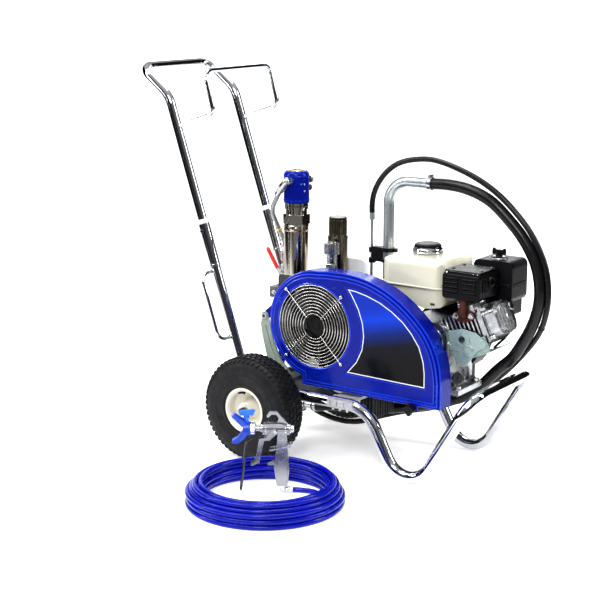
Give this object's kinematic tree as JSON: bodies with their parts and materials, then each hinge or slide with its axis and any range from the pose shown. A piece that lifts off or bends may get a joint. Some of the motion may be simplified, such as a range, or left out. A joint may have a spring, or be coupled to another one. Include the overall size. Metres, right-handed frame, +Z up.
{
  "type": "airless paint sprayer",
  "caption": "Petrol driven hydraulic airless paint sprayer on a two-wheeled cart, with sliding handle, belt guard, suction set, spray hose and trigger gun.",
  "frame": {"origin": "on the floor, under the middle of the outline of the machine and gun, the hose left out", "axes": "+X from the handle to the front legs, +Y away from the belt guard, +Z up"},
  "size_m": [1.1598, 0.957, 1.026],
  "materials": {
    "belt_rubber": "fabric faced rubber",
    "black_casting": "black painted casting",
    "black_gloss": "gloss black enamel",
    "black_hose": "smooth black hose",
    "black_paint": "satin black paint",
    "black_plastic": "moulded, fine grained",
    "blue_hose": "smooth blue thermoplastic cover",
    "blue_paint": "deep blue powder coat",
    "blue_plastic": "moulded blue",
    "bright_rod": "ground and plated",
    "bronze_casting": "bronze brown coating",
    "cast_aluminium": "die cast, bead blasted",
    "chrome_cap": "plated pressing",
    "chrome_tube": "bright plated tube",
    "clear_tank_plastic": "milky moulded tank",
    "cream_paint": "gloss cream paint",
    "cream_tank": "gloss cream paint",
    "dark_steel": "blackened steel",
    "grey_casting": "grey casting",
    "gun_casting": "satin die casting",
    "nickel": "warm nickel plate, polished",
    "red_grip": "dipped vinyl",
    "sage_paint": "grey green paint",
    "speckled_casting": "rough pale casting with dark speckle",
    "teal_paint": "grey green paint on sheet steel",
    "tip_plastic": "moulded bright blue",
    "tyre": "ribbed rubber",
    "white_nylon": "moulded nylon",
    "zinc": "zinc plated",
    "zinc_tube": "bright zinc plated tube"
  },
  "bodies": {
    "cart": {"leg_frame": "chrome_tube", "axle": "dark_steel", "fasteners": "zinc", "deck": "black_paint", "tube_clamps": "speckled_casting", "lower_uprights": "zinc_tube", "upright_collars": "white_nylon", "guard_bracket": "sage_paint", "v_belt": "belt_rubber", "oil_reservoir": "clear_tank_plastic", "hydraulic_pump": "black_casting", "oil_cooler": "black_casting", "motor_cap": "blue_paint", "motor_cylinder": "nickel", "fluid_pump": "nickel", "intake_valve": "nickel", "fluid_manifold": "grey_casting", "filter_bowl": "bronze_casting", "hydraulic_lines": "zinc", "ball_valve": "nickel", "suction_tube": "zinc_tube", "suction_hose": "black_hose", "drain_tube": "zinc_tube", "drain_hose": "black_hose", "tube_clips": "black_plastic", "engine_block": "cast_aluminium", "valve_cover": "cast_aluminium", "lower_shroud": "teal_paint", "recoil_cover": "black_plastic", "fuel_tank": "cream_tank", "muffler": "black_gloss", "air_cleaner": "black_plastic", "carburettor": "cast_aluminium", "hose_coil": "blue_hose", "hose_lead": "blue_hose"},
    "near_wheel": {"near_rim": "cream_paint", "near_tyre": "tyre"},
    "far_wheel": {"far_rim": "cream_paint", "far_tyre": "tyre"},
    "handle": {"upper_handle": "chrome_tube"},
    "guard": {"belt_guard": "blue_paint", "fan_grille": "zinc"},
    "guard_knob": {"guard_knob": "black_plastic"},
    "fan": {"fan_pulley": "black_casting"},
    "crank": {"engine_pulley": "dark_steel"},
    "piston": {"piston_rod": "bright_rod"},
    "filter_cap": {"filter_cap": "bronze_casting"},
    "pressure_knob": {"pressure_knob": "nickel"},
    "valve_lever": {"valve_lever": "red_grip"},
    "prime_handle": {"prime_handle": "black_plastic"},
    "fuel_cap": {"fuel_cap": "chrome_cap"},
    "air_knob": {"air_cleaner_knob": "black_plastic"},
    "starter": {"starter_grip": "black_plastic"},
    "throttle": {"throttle_lever": "dark_steel"},
    "choke": {"choke_lever": "black_plastic"},
    "gun": {"gun_body": "gun_casting"},
    "trigger": {"gun_trigger": "bright_rod"},
    "trigger_lock": {"trigger_lock": "bright_rod"},
    "tip_guard": {"tip_guard": "blue_plastic"},
    "spray_tip": {"spray_tip": "tip_plastic"}
  },
  "joints": [
    {"name": "near_wheel_spin", "type": "hinge", "parent": "cart", "child": "near_wheel", "pos_m": [-0.13017, -0.12948, 0.1405], "axis": [0, 1, 0], "continuous": true},
    {"name": "far_wheel_spin", "type": "hinge", "parent": "cart", "child": "far_wheel", "pos_m": [-0.13017, 0.32452, 0.1405], "axis": [0, 1, 0], "continuous": true},
    {"name": "handle_slide", "type": "slide", "parent": "cart", "child": "handle", "axis": [-0.3162, 0, 0.9487], "range_m": [-0.22, 0]},
    {"name": "guard_swing", "type": "hinge", "parent": "cart", "child": "guard", "pos_m": [-0.18817, 0.00752, 0.355], "axis": [0, -1, 0], "range_deg": [0, 50]},
    {"name": "guard_knob_turn", "type": "hinge", "parent": "guard", "child": "guard_knob", "pos_m": [0.30883, -0.06248, 0.193], "axis": [0, 1, 0], "range_deg": [0, 360]},
    {"name": "fan_spin", "type": "hinge", "parent": "cart", "child": "fan", "pos_m": [0.00983, -0.00848, 0.364], "axis": [0, 1, 0], "continuous": true},
    {"name": "crank_spin", "type": "hinge", "parent": "cart", "child": "crank", "pos_m": [0.29183, -0.00848, 0.334], "axis": [0, 1, 0], "continuous": true},
    {"name": "piston_stroke", "type": "slide", "parent": "cart", "child": "piston", "axis": [0, 0, 1], "range_m": [-0.028, 0.028]},
    {"name": "filter_cap_turn", "type": "hinge", "parent": "cart", "child": "filter_cap", "pos_m": [-0.05517, 0.15752, 0.59], "axis": [0, 0, 1], "range_deg": [0, 360]},
    {"name": "pressure_knob_turn", "type": "hinge", "parent": "cart", "child": "pressure_knob", "pos_m": [-0.03517, 0.09752, 0.53], "axis": [0, 0, 1], "range_deg": [0, 270]},
    {"name": "valve_lever_turn", "type": "hinge", "parent": "cart", "child": "valve_lever", "pos_m": [-0.22717, 0.13552, 0.436], "axis": [0, -1, 0], "range_deg": [0, 90]},
    {"name": "prime_handle_turn", "type": "hinge", "parent": "cart", "child": "prime_handle", "pos_m": [-0.09817, 0.19252, 0.395], "axis": [0, 1, 0], "range_deg": [0, 90]},
    {"name": "fuel_cap_turn", "type": "hinge", "parent": "cart", "child": "fuel_cap", "pos_m": [0.24383, 0.12752, 0.57], "axis": [0, 0, 1], "range_deg": [0, 90]},
    {"name": "air_knob_turn", "type": "hinge", "parent": "cart", "child": "air_knob", "pos_m": [0.42283, 0.17952, 0.568], "axis": [0, 0, 1], "range_deg": [0, 360]},
    {"name": "starter_pull", "type": "slide", "parent": "cart", "child": "starter", "axis": [-0.936, 0, 0.352], "range_m": [0, 0.15], "stiffness_N_per_m": 30, "springref_m": -0.1},
    {"name": "throttle_turn", "type": "hinge", "parent": "cart", "child": "throttle", "pos_m": [0.39583, 0.18952, 0.398], "axis": [0, 1, 0], "range_deg": [-40, 10]},
    {"name": "choke_turn", "type": "hinge", "parent": "cart", "child": "choke", "pos_m": [0.41983, 0.18952, 0.4], "axis": [0, 1, 0], "range_deg": [-25, 20]},
    {"name": "gun_swivel_turn", "type": "hinge", "parent": "cart", "child": "gun", "pos_m": [0.08968, -0.30395, 0.018], "axis": [0, 0, 1], "range_deg": [-35, 80]},
    {"name": "trigger_pull", "type": "hinge", "parent": "gun", "child": "trigger", "pos_m": [0.07526, -0.31296, 0.162], "axis": [0.5299, -0.848, 0], "range_deg": [0, 13], "stiffness_Nm_per_rad": 0.4, "springref_deg": -14.32},
    {"name": "trigger_lock_turn", "type": "hinge", "parent": "gun", "child": "trigger_lock", "pos_m": [0.10359, -0.29526, 0.127], "axis": [0.5299, -0.848, 0], "range_deg": [-15, 0]},
    {"name": "tip_guard_turn", "type": "hinge", "parent": "gun", "child": "tip_guard", "pos_m": [0.02777, -0.34263, 0.166], "axis": [-0.848, -0.5299, 0], "range_deg": [-90, 90]},
    {"name": "spray_tip_turn", "type": "hinge", "parent": "tip_guard", "child": "spray_tip", "pos_m": [0.0142, -0.35111, 0.18], "axis": [0, 0, 1], "range_deg": [0, 180]}
  ],
  "couplings": [
    {"joint": "crank_spin", "follows": "fan_spin", "ratio": 2.6316}
  ]
}
